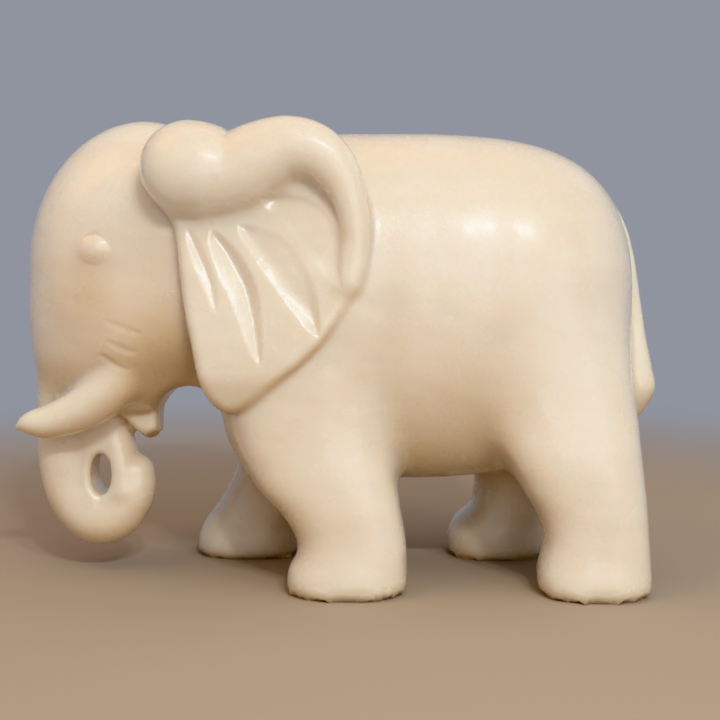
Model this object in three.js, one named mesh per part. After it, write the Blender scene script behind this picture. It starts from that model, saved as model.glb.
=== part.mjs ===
// A jade elephant, carved from one block. Millimetres, +Z up.
// It faces -X, its left side faces -Y, and it stands on its four soles in the plane Z = 0.
// The whole animal is one rounded form: masses and limbs melt into each other with a named
// softness at every join, and the closed skin of that form is then meshed.
import * as THREE from 'three';

// Driving dimensions of the standing figure.
const BACK_Z = 154.9;
const BELLY_Z = 34.5;
const BODY_HALF_WIDTH = 41.5;
const CROWN_Z = 159.8;
const HEAD_X = -69.5;
const HEAD_REACH = 40.9;
const HEAD_HALF_WIDTH = 27.5;
const FOOT_INNER_Y = 13;
const FOOT_OUTER_Y = 46.3;
const EAR_FACE_Y = 37.5;
const EAR_LEAN = 0.075;
const DISH_DEPTH = 4.8;
const TUSK_Y = 18.5;
const TAIL_X = 100;
// Half-way between the tusk tips and the tail's tuft, which is where the origin goes.
const MIDDLE_X = -3.4;

// Mesh sizes: the net's steps, and the longest edge left on carved and on plain skin.
const STEP_PLAIN = 9.8;
const STEP_HEAD = 6.8;
const STEP_TRUNK = 4;
const EDGE_CARVED = 5.6;
const RELAX_ROUNDS = 4;

// Joins two forms. softness is the width of the fillet between them.
function join(a, b, softness) {
  const h = Math.max(softness - Math.abs(a - b), 0) / softness;
  return Math.min(a, b) - (h * h * softness) / 4;
}

// What both forms share, with the edge between them rounded.
function common(a, b, softness) {
  return -join(-a, -b, softness);
}

// The first form with the second cut out of it.
function cut(a, b, softness) {
  return -join(-a, b, softness);
}

function easeStep(t) {
  return THREE.MathUtils.smoothstep(t, 0, 1);
}

// A rounded mass about its centre. profile squares its side view, and square squares it across.
function mass([cx, cy, cz], [rx, ry, rz], profile, square) {
  return (x, y, z) => {
    const u = Math.abs(x - cx) / rx;
    const v = Math.abs(y - cy) / ry;
    const w = Math.abs(z - cz) / rz;
    const p = Math.max((u ** profile + w ** profile) ** (1 / profile), 1e-9);
    const s = Math.max((p ** square + v ** square) ** (1 / square), 1e-9);
    const along = (p / s) ** (square - 1);
    const slope = Math.hypot(
      (along * (u / p) ** (profile - 1)) / rx,
      (v / s) ** (square - 1) / ry,
      (along * (w / p) ** (profile - 1)) / rz,
    );
    return (s - 1) / slope;
  };
}

// The row of numbers at place t (0 to stations.length - 1) on a smooth run through the stations,
// with its first and second derivatives.
function smoothRow(stations, t) {
  const last = stations.length - 1;
  const i = Math.min(Math.floor(t), last - 1);
  const u = t - i;
  const before = stations[Math.max(i - 1, 0)];
  const from = stations[i];
  const to = stations[i + 1];
  const after = stations[Math.min(i + 2, last)];
  const row = [];
  const slope = [];
  const bend = [];
  for (let c = 0; c < from.length; c++) {
    const b1 = (to[c] - before[c]) / 2;
    const b2 = (2 * before[c] - 5 * from[c] + 4 * to[c] - after[c]) / 2;
    const b3 = (3 * from[c] - before[c] - 3 * to[c] + after[c]) / 2;
    row.push(from[c] + b1 * u + b2 * u * u + b3 * u ** 3);
    slope.push(b1 + 2 * b2 * u + 3 * b3 * u * u);
    bend.push(2 * b2 + 6 * b3 * u);
  }
  return { row, slope, bend };
}

// A round limb that swells and tapers along a curve through [x, y, z, radius] stations.
// wide stretches its section across Y.
function limb(stations, wide = 1, rounds = 2) {
  const spine = stations.map(([x, y, z, r]) => [x, y / wide, z, r]);
  const last = spine.length - 1;
  const pieces = last * 2;
  const beads = [];
  for (let k = 0; k <= pieces; k++) beads.push(smoothRow(spine, Math.min(k / 2, last)).row);
  return (x, yFull, z) => {
    const point = [x, yFull / wide, z];
    let nearest = Infinity;
    let t = 0;
    for (let k = 0; k < pieces; k++) {
      const a = beads[k];
      const b = beads[k + 1];
      let dot = 0;
      let length = 0;
      for (let c = 0; c < 3; c++) {
        dot += (point[c] - a[c]) * (b[c] - a[c]);
        length += (b[c] - a[c]) ** 2;
      }
      const h = THREE.MathUtils.clamp(dot / length, 0, 1);
      let gap = 0;
      for (let c = 0; c < 3; c++) gap += (point[c] - a[c] - (b[c] - a[c]) * h) ** 2;
      if (gap < nearest) {
        nearest = gap;
        t = (k + h) / 2;
      }
    }
    // The beads give a first place on the spine, and Newton steps slide it to the true nearest.
    for (let n = 0; n < rounds; n++) {
      const { row, slope, bend } = smoothRow(spine, t);
      let pull = 0;
      let speed = 0;
      let curl = 0;
      for (let c = 0; c < 3; c++) {
        pull += (row[c] - point[c]) * slope[c];
        speed += slope[c] ** 2;
        curl += (row[c] - point[c]) * bend[c];
      }
      const slide = pull / Math.max(speed + curl, 0.3 * speed);
      t = THREE.MathUtils.clamp(t - THREE.MathUtils.clamp(slide, -0.3, 0.3), 0, last);
    }
    const { row } = smoothRow(spine, t);
    const away = Math.hypot(point[0] - row[0], point[1] - row[1], point[2] - row[2]) - row[3];
    return away * Math.min(1, wide);
  };
}

// A leg: level sections, each a rounded square between front, rear, inner and outer faces.
function pillar(stations, square = 2.6) {
  const heights = stations.map((s) => s[0]);
  const top = heights[heights.length - 1];
  const tangent = (k, c) => {
    const below = Math.max(k - 1, 0);
    const above = Math.min(k + 1, stations.length - 1);
    return (stations[above][c] - stations[below][c]) / (heights[above] - heights[below]);
  };
  return (x, y, z) => {
    const level = THREE.MathUtils.clamp(z, heights[0], top);
    let i = 0;
    while (i < heights.length - 2 && level >= heights[i + 1]) i++;
    const h = heights[i + 1] - heights[i];
    const t = (level - heights[i]) / h;
    const face = (c) =>
      (2 * t ** 3 - 3 * t * t + 1) * stations[i][c] +
      (t ** 3 - 2 * t * t + t) * h * tangent(i, c) +
      (3 * t * t - 2 * t ** 3) * stations[i + 1][c] +
      (t ** 3 - t * t) * h * tangent(i + 1, c);
    const [front, rear, inner, outer] = [face(1), face(2), face(3), face(4)];
    const a = (rear - front) / 2;
    const b = Math.abs(outer - inner) / 2;
    const u = Math.abs(x - (front + rear) / 2) / a;
    const v = Math.abs(y - (inner + outer) / 2) / b;
    const s = Math.max((u ** square + v ** square) ** (1 / square), 1e-9);
    const d = (s - 1) / Math.hypot((u / s) ** (square - 1) / a, (v / s) ** (square - 1) / b);
    return z > top ? Math.hypot(Math.max(d, 0), z - top) + Math.min(d, 0) : d;
  };
}

// An outline in the side view, as a smooth closed run through [x, z] corners.
function outline(corners, perCorner = 4) {
  const n = corners.length;
  const closed = [corners[n - 1], ...corners, corners[0], corners[1]];
  const points = [];
  for (let k = 0; k < n * perCorner; k++) points.push(smoothRow(closed, 1 + k / perCorner).row);
  return points;
}

// Signed distance from an outline in the side view: negative inside.
function outlineDistance(points, x, z) {
  let nearest = Infinity;
  let inside = false;
  for (let i = 0, j = points.length - 1; i < points.length; j = i++) {
    const [ax, az] = points[j];
    const [bx, bz] = points[i];
    const ex = bx - ax;
    const ez = bz - az;
    const h = THREE.MathUtils.clamp(((x - ax) * ex + (z - az) * ez) / (ex * ex + ez * ez), 0, 1);
    nearest = Math.min(nearest, (x - ax - ex * h) ** 2 + (z - az - ez * h) ** 2);
    if (bz > z !== az > z && x < ((ax - bx) * (z - bz)) / (az - bz) + bx) inside = !inside;
  }
  return (inside ? -1 : 1) * Math.sqrt(nearest);
}

// A line drawn on the side view, as a smooth open run through [x, z] points.
function drawnLine(points, perPoint = 3) {
  const last = points.length - 1;
  const line = [];
  for (let k = 0; k <= last * perPoint; k++) {
    line.push(smoothRow(points, Math.min(k / perPoint, last)).row);
  }
  return line;
}

// Torso: barrel, rump, shoulders, neck and chest.
const barrelReach = [71, BODY_HALF_WIDTH, (BACK_Z - BELLY_Z) / 2];
const barrel = mass([21, 0, (BACK_Z + BELLY_Z) / 2], barrelReach, 2.7, 2.3);
const rump = mass([62.5, 0, 95.5], [38.2, 38.5, 51], 2.35, 2.3);
const shoulders = mass([-9, 0, 94], [33, 38, 55], 2.4, 2.4);
const neck = mass([-38, 0, 110], [34, 30, 41], 2.3, 2.4);
const chest = mass([-14, 0, 60], [25, 34, 32], 2.2, 2.4);

// A shallow upright hollow in the side of the body, between two heights.
function softHollow(x, z, at, low, high, depth) {
  const endFade = easeStep((z - low) / 25) * easeStep((high - z) / 25);
  return depth * endFade * Math.exp(-(((x - at) / 7.5) ** 2));
}

function torso(x, y, z) {
  let d = join(barrel(x, y, z), rump(x, y, z), 14);
  d = join(d, shoulders(x, y, z), 12);
  d = join(d, neck(x, y, z), 16);
  d = join(d, chest(x, y, z), 14);
  const onSide = easeStep((Math.abs(y) - 15) / 15);
  return d + onSide * (softHollow(x, z, 50, 40, 145, 0.9) + softHollow(x, z, 14, 50, 118, 0.8));
}

// Legs. Rows are [height, front, rear, inner, outer]; the right-hand pair steps the other way.
const LEG_LEVELS = [-6, 2, 8, 13.5, 19, 27, 36, 49, 64, 80, 96];
const INNER_FACE = [0, 0, 0, 0.4, 0.4, 0, -2, -5, -8, -10, -10].map((d) => FOOT_INNER_Y + d);
const OUTER_SLACK = [0, 0, 0.5, 1.4, 1.8, 1.8, 1.9, 2.7, 5, 9, 15];
const OUTER_FACE = OUTER_SLACK.map((d) => FOOT_OUTER_Y - d);

function leg(side, front, rear) {
  const across = LEG_LEVELS.map((_, k) => [side * INNER_FACE[k], side * OUTER_FACE[k]]);
  return pillar(LEG_LEVELS.map((z, k) => [z, front[k], rear[k], ...across[k]]));
}

const legs = [
  leg(
    -1,
    [-18, -18, -17.6, -14.8, -15.2, -20, -28.2, -34, -37, -33, -26],
    [22.3, 22.3, 22.2, 22.1, 21.6, 20.2, 18.7, 16, 13.5, 9, 5],
  ),
  leg(
    -1,
    [66.2, 66.2, 65.8, 67.1, 67.8, 65.6, 60, 53, 48, 47, 51],
    [103.6, 103.6, 103.4, 103, 102.6, 102.1, 101.3, 100, 98.5, 95.5, 90],
  ),
  leg(
    1,
    [-56.6, -56.6, -56, -53.2, -49, -44.3, -40.8, -38.5, -37, -33, -26],
    [-17.5, -17.5, -17, -15.5, -12, -6.5, -1, 6, 11, 9, 5],
  ),
  leg(
    1,
    [38.4, 38.4, 38.2, 40.8, 46.5, 48.2, 47.6, 47, 46, 47, 51],
    [75, 75, 75.2, 76, 77.5, 81.5, 87, 94, 97.5, 95.5, 90],
  ),
];

// Head: a domed skull cut flat at the temples, with its jowl and muzzle.
const dome = mass([HEAD_X, 0, CROWN_Z - 50.3], [HEAD_REACH, 30.8, 50], 1.95, 2.2);
const jowl = mass([-64, 0, 90], [24, 27, 20], 2.2, 2.6);
const muzzle = mass([-78.5, 0, 85], [29.5, 24, 26], 2.3, 2.5);

// Trunk: down from the face and round its loop to the tip, with a web of stone from the loop back
// up to the mouth. A hole is drilled through the middle of the loop.
const trunk = limb([
  [-91, 0, 112, 13.5], [-93, 0, 94, 14.8], [-95.6, 0, 78, 13.6], [-98.3, 0, 64, 11.4],
  [-100, 0, 50, 9.9], [-99.5, 0, 37, 9.5], [-96.5, 0, 26, 9.2], [-90, 0, 18.8, 9.1],
  [-82.5, 0, 19.4, 8.8], [-77.2, 0, 25.7, 8.3], [-75, 0, 31.5, 7.4], [-74.6, 0, 35.2, 6.5],
], 1.08);
const trunkReturn = limb([
  [-79, 0, 30, 7], [-80.4, 0, 43, 6.3], [-82.4, 0, 54, 5.8], [-84.5, 0, 66, 7],
], 1.35);
const trunkWeb = limb([
  [-88, 0, 24, 8.5], [-88, 0, 36, 8.5], [-88.5, 0, 50, 8.5], [-90, 0, 62, 10],
], 1.05);
const HOLE_X = -85.9;
const HOLE_Z = 35.6;
const HOLE_WIDE = 3.7;
const HOLE_HIGH = 7.4;
function drilledHole(x, z) {
  const u = (x - HOLE_X) / HOLE_WIDE;
  const w = (z - HOLE_Z) / HOLE_HIGH;
  const p = Math.max(Math.hypot(u, w), 1e-6);
  return ((p - 1) * p) / Math.max(Math.hypot(u / HOLE_WIDE, w / HOLE_HIGH), 1e-6);
}

// The lower lip: a wedge that hangs behind the trunk, pointed downward.
const lipOutline = outline([
  [-65.6, 44.6], [-64.6, 50], [-63.6, 60], [-62, 72], [-72, 78], [-84, 72], [-80, 59.5],
  [-73.5, 52.2], [-68.6, 47.6],
]);

// Tusks: from the cheek forward past the trunk, ending in a point.
const TUSK_TIP = [-113.1, -TUSK_Y + 1.1, 53.5];
const tusks = limb([
  [-67, -16, 82, 8], [-74.8, -TUSK_Y + 0.4, 73, 9.2], [-82.5, -TUSK_Y - 0.3, 65, 8.5],
  [-90.6, -TUSK_Y - 0.3, 59.5, 7.3], [-100.5, -TUSK_Y + 0.2, 55.9, 6],
  [-106.1, -TUSK_Y + 0.5, 55.2, 4.7], [-109.6, -TUSK_Y + 0.8, 54.6, 3.2],
  [-112, -TUSK_Y + 1, 53.8, 1.2],
], 0.95);
const eyes = mass([-82.7, -24.4, 114.9], [4.9, 4.7, 5.2], 2, 2);

function head(x, y, z) {
  const side = -Math.abs(y);
  const temple = -side - (HEAD_HALF_WIDTH + 0.03 * (x - HEAD_X));
  let d = common(dome(x, y, z), temple, 3);
  d = join(d, jowl(x, y, z), 10);
  d = join(d, muzzle(x, y, z), 10);
  d = join(d, trunk(x, y, z), 7);
  d = join(d, trunkReturn(x, y, z), 2);
  d = join(d, trunkWeb(x, y, z), 4);
  d = cut(d, drilledHole(x, z), 1.6);
  const lip = common(outlineDistance(lipOutline, x, z), -side - 9, 2);
  d = join(d, lip, 2);
  return join(d, eyes(x, side, z), 1);
}

// The arch of the throat, cut right across between the lip and the forelegs.
const ARCH_X = -53.2;
const ARCH_Z = 55.5;
const ARCH_RADIUS = 12.2;
function throatArch(x, z) {
  return Math.hypot(x - ARCH_X, Math.max(z - ARCH_Z, 0)) - ARCH_RADIUS;
}

// Ears: a leaf laid on the side of the neck, with a thick roll along its top and furrows in its face.
const earOutline = outline([
  [-59.5, 140], [-57, 150.5], [-49, 155.2], [-39, 152.5], [-32, 152], [-21, 155.5], [-9.5, 153.5],
  [-1, 146.5], [5.2, 136], [8.9, 124], [8.6, 112], [4.3, 99], [-6.5, 83], [-19.2, 71.6],
  [-30, 62.8], [-38.5, 61.5], [-45.2, 69], [-48.6, 84], [-51.4, 98], [-54, 117], [-58, 130],
]);
const earRoll = limb([
  [-50.5, -34.5, 141.3, 14.8], [-43, -35, 140.4, 14.6], [-34, -36, 140.6, 12.2],
  [-26, -37, 144.6, 11.3], [-16.5, -38, 147.8, 9.6], [-7.5, -38.8, 146.2, 8.4],
  [-0.5, -39.5, 139.8, 7.2], [3.5, -40.5, 130.5, 5.4], [5.2, -41.3, 118, 3.9],
  [3.2, -41.8, 105, 3],
], 0.86);

// Each furrow falls gently from a soft crest, over slope, to a sharp valley line, and climbs back
// over rise. Its points follow the valley from the roll down to the rear edge.
const furrow = (valley, slope, rise, depth, edge) => (
  { valley: drawnLine(valley), slope, rise, depth, edge }
);
const furrows = [
  furrow([[-50, 122], [-46, 113.5], [-42.2, 105], [-39.5, 94]], 3.8, 3, 1.3, 1.4),
  furrow([[-42, 121], [-35.5, 112], [-29.2, 99.4], [-25.2, 77]], 6.8, 4, 3, 1.15),
  furrow([[-33, 122.5], [-21.5, 116], [-11.8, 102.5], [-6.3, 86.5]], 8.6, 4.5, 3.6, 1.25),
  furrow([[-26, 131.5], [-12, 128], [-3.3, 117], [0.9, 102]], 9, 4.2, 3.6, 1.25),
];

function furrowDepth({ valley, slope, rise, depth, edge }, x, z) {
  let nearest = Infinity;
  let side = 1;
  let t = 0;
  for (let k = 0; k < valley.length - 1; k++) {
    const [ax, az] = valley[k];
    const ex = valley[k + 1][0] - ax;
    const ez = valley[k + 1][1] - az;
    const h = THREE.MathUtils.clamp(((x - ax) * ex + (z - az) * ez) / (ex * ex + ez * ez), 0, 1);
    const gap = Math.hypot(x - ax - ex * h, z - az - ez * h);
    if (gap < nearest) {
      nearest = gap;
      side = Math.sign(ex * (z - az) - ez * (x - ax));
      t = (k + h) / (valley.length - 1);
    }
  }
  const taper = Math.sin(Math.PI * t) ** 0.7;
  const reach = Math.max((side > 0 ? rise : slope) * taper, 0.05);
  return depth * taper * Math.max(1 - nearest / reach, 0) ** edge;
}

// How far the ear's face stands from the middle plane, for a place in the side view.
function earFace(x, z) {
  const flare = 4.5 * easeStep((118 - z) / 45) - 3 * easeStep((75 - z) / 16);
  const dish = DISH_DEPTH * easeStep((z - 106) / 26);
  let face = EAR_FACE_Y + EAR_LEAN * (x + 55) + flare - dish;
  for (const one of furrows) face -= furrowDepth(one, x, z);
  return face;
}

const EAR_BOX = new THREE.Box3(new THREE.Vector3(-75, -60, 50), new THREE.Vector3(20, -12, 170));
function ear(x, y, z) {
  const side = -Math.abs(y);
  const outside = EAR_BOX.distanceToPoint(new THREE.Vector3(x, side, z));
  if (outside > 0) return outside + 6;
  let leaf = common((-side - earFace(x, z)) * 0.92, outlineDistance(earOutline, x, z), 4);
  leaf = common(leaf, EAR_FACE_Y - 10.5 + side, 7);
  return join(leaf, earRoll(x, side, z), 5);
}

// Tail: from the top of the rump down to a tear-shaped tuft, swung to the left. The rump is cut
// back on both sides of it, so that it stands in relief.
const tailSpine = [
  [TAIL_X - 12, -1, 134, 2], [TAIL_X - 5, -2, 124, 2.8], [TAIL_X - 1.7, -4, 110, 3.2],
  [TAIL_X - 0.2, -7, 96, 3.4], [TAIL_X + 0.6, -11, 84, 3.9], [TAIL_X + 0.3, -15, 75.5, 5.3],
  [TAIL_X - 0.9, -17.5, 69, 7.4], [TAIL_X - 2.4, -18, 62, 5.4], [TAIL_X - 3.4, -18, 58, 3],
];
const tail = limb(tailSpine);
const tailBeds = [-1, 1].map((side) => limb(
  tailSpine.slice(1, 6).map(([x, y, z, r]) => [x + 2.2, y + side * (r + 2.2), z, 3.2]),
));

// The whole form: negative inside the stone, positive outside, zero on its skin.
function stone(xCentred, y, z) {
  const x = xCentred + MIDDLE_X;
  let d = join(torso(x, y, z), head(x, y, z), 12);
  d = cut(d, throatArch(x, z), 3);
  d = join(d, tusks(x, -Math.abs(y), z), 2);
  for (const one of legs) d = join(d, one(x, y, z), 9);
  d = join(d, ear(x, y, z), 1.5);
  for (const bed of tailBeds) d = cut(d, bed(x, y, z), 4);
  d = join(d, tail(x, y, z), 2);
  return common(d, -z, 0.8);
}

// Grid lines along one axis: [from, step] rows, the last of which only ends the run.
function gridLines(runs) {
  const lines = [runs[0][0]];
  for (let i = 0; i < runs.length - 1; i++) {
    const [from, step] = runs[i];
    const to = runs[i + 1][0];
    const count = Math.max(1, Math.round((to - from) / step));
    for (let k = 1; k <= count; k++) lines.push(from + ((to - from) * k) / count);
  }
  return lines;
}

// The eight corners of a grid cell, its edges as pairs of corners, and the corner ring of each face.
const AXES = [1, 2, 4];
const CORNERS = [0, 1, 2, 3, 4, 5, 6, 7].map((c) => [c & 1, (c >> 1) & 1, c >> 2]);
const EDGES = CORNERS.flatMap((_, a) => AXES.filter((axis) => !(a & axis)).map((axis) => [a, a | axis]));
const edgeBetween = (a, b) => EDGES.findIndex(([p, q]) => p === Math.min(a, b) && q === Math.max(a, b));
const EDGE_BETWEEN = CORNERS.map((_, a) => CORNERS.map((__, b) => edgeBetween(a, b)));
const FACES = AXES.flatMap((axis) => {
  const [p, q] = AXES.filter((other) => other !== axis);
  return [0, axis].map((base) => [base, base | p, base | p | q, base | q]);
});

// Which sheet of skin each edge of a cell belongs to. On a face, a run of inside corners is
// bounded by one strand of skin, which ties together the two edges that it leaves by.
function sheetsIn(inside) {
  const sheet = EDGES.map((_, n) => n);
  for (const ring of FACES) {
    ring.forEach((corner, n) => {
      const before = ring[(n + 3) % 4];
      if (!inside[corner] || inside[before]) return;
      let m = n;
      while (inside[ring[(m + 1) % 4]]) m++;
      const from = sheet[EDGE_BETWEEN[before][corner]];
      const to = sheet[EDGE_BETWEEN[ring[m % 4]][ring[(m + 1) % 4]]];
      sheet.forEach((name, k) => {
        if (name === from) sheet[k] = to;
      });
    });
  }
  return sheet;
}

// A net drawn over the form: in each grid cell one knot for each sheet of skin that passes, and
// a patch across each grid edge that the skin crosses. It is closed by construction.
function net(form, xs, ys, zs) {
  const at = (i, j, k) => (k * ys.length + j) * xs.length + i;
  const values = new Float64Array(xs.length * ys.length * zs.length);
  zs.forEach((z, k) => ys.forEach((y, j) => xs.forEach((x, i) => {
    values[at(i, j, k)] = form(x, y, z);
  })));
  const knotOf = new Map();
  const knots = [];
  const drawCell = (i, j, k) => {
    const value = CORNERS.map(([a, b, c]) => values[at(i + a, j + b, k + c)]);
    const inside = value.map((v) => v < 0);
    if (inside.every((v) => v === inside[0])) return;
    const sheet = sheetsIn(inside);
    const made = new Map();
    EDGES.forEach(([a, b], n) => {
      if (inside[a] === inside[b]) return;
      if (!made.has(sheet[n])) {
        made.set(sheet[n], { index: knots.length, crossings: 0 });
        knots.push(new THREE.Vector3());
      }
      const mine = made.get(sheet[n]);
      const t = value[a] / (value[a] - value[b]);
      const [ai, aj, ak] = CORNERS[a];
      const [bi, bj, bk] = CORNERS[b];
      knots[mine.index].add(new THREE.Vector3(
        THREE.MathUtils.lerp(xs[i + ai], xs[i + bi], t),
        THREE.MathUtils.lerp(ys[j + aj], ys[j + bj], t),
        THREE.MathUtils.lerp(zs[k + ak], zs[k + bk], t),
      ));
      mine.crossings++;
      knotOf.set(at(i, j, k) * EDGES.length + n, mine.index);
    });
    for (const { index, crossings } of made.values()) knots[index].divideScalar(crossings);
  };
  for (let k = 0; k < zs.length - 1; k++) {
    for (let j = 0; j < ys.length - 1; j++) {
      for (let i = 0; i < xs.length - 1; i++) drawCell(i, j, k);
    }
  }
  const triangles = [];
  const patch = (a, b, c, d) => {
    const shortAC = knots[a].distanceTo(knots[c]) <= knots[b].distanceTo(knots[d]);
    triangles.push(...(shortAC ? [[a, b, c], [a, c, d]] : [[b, c, d], [b, d, a]]));
  };
  for (let k = 1; k < zs.length - 1; k++) {
    for (let j = 1; j < ys.length - 1; j++) {
      for (let i = 1; i < xs.length - 1; i++) {
        const here = values[at(i, j, k)] < 0;
        AXES.forEach((axis, n) => {
          const [di, dj, dk] = CORNERS[axis];
          if (here === values[at(i + di, j + dj, k + dk)] < 0) return;
          // The four cells round the edge see it as the edge from their own corner a to b.
          const [p, q] = [AXES[(n + 1) % 3], AXES[(n + 2) % 3]];
          const ring = [p | q, q, 0, p].map((a) => {
            const [ci, cj, ck] = CORNERS[a];
            return knotOf.get(at(i - ci, j - cj, k - ck) * EDGES.length + EDGE_BETWEEN[a][a | axis]);
          });
          patch(...(here ? ring : ring.reverse()));
        });
      }
    }
  }
  return { knots, triangles };
}

// Moves a point onto the skin by Newton steps.
function settle(form, point, steps) {
  const e = 0.05;
  for (let n = 0; n < steps; n++) {
    const { x, y, z } = point;
    const slope = new THREE.Vector3(
      form(x + e, y, z) - form(x - e, y, z),
      form(x, y + e, z) - form(x, y - e, z),
      form(x, y, z + e) - form(x, y, z - e),
    ).divideScalar(2 * e);
    const step = -form(x, y, z) / Math.max(slope.lengthSq(), 0.25);
    point.addScaledVector(slope, THREE.MathUtils.clamp(step, -1, 1));
  }
}

// Halves every edge that is longer than its place allows. Both triangles beside an edge see the
// same midpoint, so the skin stays closed.
function refine({ knots, triangles }, longest) {
  const middles = new Map();
  const middle = (a, b) => {
    const name = a < b ? `${a}-${b}` : `${b}-${a}`;
    if (!middles.has(name)) {
      const point = knots[a].clone().lerp(knots[b], 0.5);
      const long = knots[a].distanceTo(knots[b]) > longest(point);
      if (long) knots.push(point);
      middles.set(name, long ? knots.length - 1 : -1);
    }
    return middles.get(name);
  };
  const finer = [];
  for (const [a, b, c] of triangles) {
    const [ab, bc, ca] = [middle(a, b), middle(b, c), middle(c, a)];
    const split = [ab, bc, ca].filter((m) => m >= 0).length;
    if (split === 0) finer.push([a, b, c]);
    else if (split === 3) finer.push([a, ab, ca], [ab, b, bc], [ca, bc, c], [ab, bc, ca]);
    else {
      // Turn the triangle so that its first edge is split, and with two, its last is whole.
      let [p, q, r, pq, qr] = [a, b, c, ab, bc];
      if (split === 1 ? bc >= 0 : ab < 0) [p, q, r, pq, qr] = [b, c, a, bc, ca];
      else if (split === 1 ? ca >= 0 : bc < 0) [p, q, r, pq, qr] = [c, a, b, ca, ab];
      if (split === 1) finer.push([p, pq, r], [pq, q, r]);
      else finer.push([pq, q, qr], [p, pq, qr], [p, qr, r]);
    }
  }
  return { knots, triangles: finer };
}

// Evens out the triangles: each knot moves half-way to the middle of its neighbours.
function relax({ knots, triangles }) {
  const sums = knots.map(() => new THREE.Vector4(0, 0, 0, 0));
  for (const ring of triangles) {
    ring.forEach((a, n) => {
      const { x, y, z } = knots[ring[(n + 1) % 3]];
      sums[a].add(new THREE.Vector4(x, y, z, 1));
    });
  }
  sums.forEach(({ x, y, z, w }, n) => knots[n].lerp(new THREE.Vector3(x / w, y / w, z / w), 0.5));
}

// Edges stay short where the stone is carved: the ears' faces, the eyes, the tusks, the trunk
// and the tail.
function longestEdge({ x, y, z }) {
  const onEar = x < 14 && x > -66 && z > 58 && Math.abs(y) > 33;
  const onFace = x < -60 && (z < 80 || (z > 105 && z < 126 && x < -74 && Math.abs(y) > 18));
  const onTail = x > 86 && z > 50 && z < 142 && y > -32 && y < 8;
  return onEar || onFace || onTail ? EDGE_CARVED : 2 * STEP_PLAIN;
}

const xs = gridLines([
  [-116, STEP_TRUNK], [-62, STEP_HEAD], [16, STEP_PLAIN], [124, STEP_PLAIN],
]);
const ys = gridLines([[-56, STEP_HEAD], [56, STEP_HEAD]]);
const zs = gridLines([[-9.6, STEP_HEAD], [22.4, STEP_TRUNK + 1], [48, STEP_HEAD], [168, STEP_HEAD]]);
let skin = net(stone, xs, ys, zs);
skin.knots.forEach((knot) => settle(stone, knot, 3));
skin = refine(skin, longestEdge);

// The knots nearest the tusks' points, which are kept on those points.
const tips = [-1, 1].map((side) => {
  const place = new THREE.Vector3(TUSK_TIP[0] - MIDDLE_X, side * TUSK_TIP[1], TUSK_TIP[2]);
  const knot = skin.knots.reduce((a, b) => (b.distanceTo(place) < a.distanceTo(place) ? b : a));
  return { place, knot };
});
for (let n = 0; n < RELAX_ROUNDS; n++) {
  relax(skin);
  skin.knots.forEach((knot) => settle(stone, knot, 3));
  tips.forEach(({ place, knot }) => knot.copy(place));
}

const geometry = new THREE.BufferGeometry().setFromPoints(skin.knots);
geometry.setIndex(skin.triangles.flat());
geometry.computeVertexNormals();

const paleJade = new THREE.MeshStandardMaterial({ color: 0xe6d8bf, roughness: 0.28, metalness: 0 });
const elephant = new THREE.Mesh(geometry, paleJade);
elephant.name = 'elephant';

const sculpture = new THREE.Group();
sculpture.add(elephant);
export default sculpture;
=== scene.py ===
# %% [markdown]
# A jade elephant, carved in the round from one block
#
# This lesson dresses a finished solid: the carved elephant that the frame brings in.
# The real object is one stone with nothing added to it, so there is one piece to make.
# Two things have to be right: the carver's forms, with their crisp valleys and soft crests,
# and the stone itself, which lets a little light in under a waxy polish.

# %% Load the frame
import math

import bmesh
import bpy
import numpy as np
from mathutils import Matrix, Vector


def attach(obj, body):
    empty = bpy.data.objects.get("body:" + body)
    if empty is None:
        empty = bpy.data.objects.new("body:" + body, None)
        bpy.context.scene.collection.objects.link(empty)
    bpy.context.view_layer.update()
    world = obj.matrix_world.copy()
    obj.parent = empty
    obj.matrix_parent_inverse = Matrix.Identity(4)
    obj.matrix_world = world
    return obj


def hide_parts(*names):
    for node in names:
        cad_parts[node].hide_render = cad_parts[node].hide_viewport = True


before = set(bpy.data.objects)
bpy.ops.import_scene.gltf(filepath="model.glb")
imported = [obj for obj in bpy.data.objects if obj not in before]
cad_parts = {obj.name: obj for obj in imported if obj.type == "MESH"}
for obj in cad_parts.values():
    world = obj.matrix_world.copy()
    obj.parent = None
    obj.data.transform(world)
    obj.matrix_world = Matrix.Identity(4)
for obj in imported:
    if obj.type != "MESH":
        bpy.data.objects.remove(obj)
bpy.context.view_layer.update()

# %% [markdown]
# How to work on a carved form
#
# A sculptor in the editor would push a dense mesh about by hand. In code it is easier to
# say what the stone is as a rule: a function that is negative inside the stone, positive
# outside and zero on its skin. Two such rules join with a soft fillet by a rounded minimum,
# as clay does under a thumb. A fine mesh then only has to slide on to the zero.
# All the rules below work in millimetres, on whole columns of points at once.

# %% Join, cut and round
def join(a, b, softness):
    """Joins two forms. softness is the width of the fillet between them."""
    h = np.maximum(softness - np.abs(a - b), 0) / softness
    return np.minimum(a, b) - h * h * softness / 4


def common(a, b, softness):
    """What both forms share, with the edge between them rounded."""
    return -join(-a, -b, softness)


def cut(a, b, softness):
    """The first form with the second cut out of it."""
    return -join(-a, b, softness)


def ease(t):
    """A soft step from 0 to 1."""
    t = np.clip(t, 0, 1)
    return t * t * (3 - 2 * t)


# %% [markdown]
# Masses
#
# Barrel, skull and jowl are egg-like, but a carver leaves them a little square, because the
# block was square. A superellipsoid has that look: its powers set how square the side view
# and the section are. Dividing by its slope turns its value into a distance in millimetres.

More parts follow.
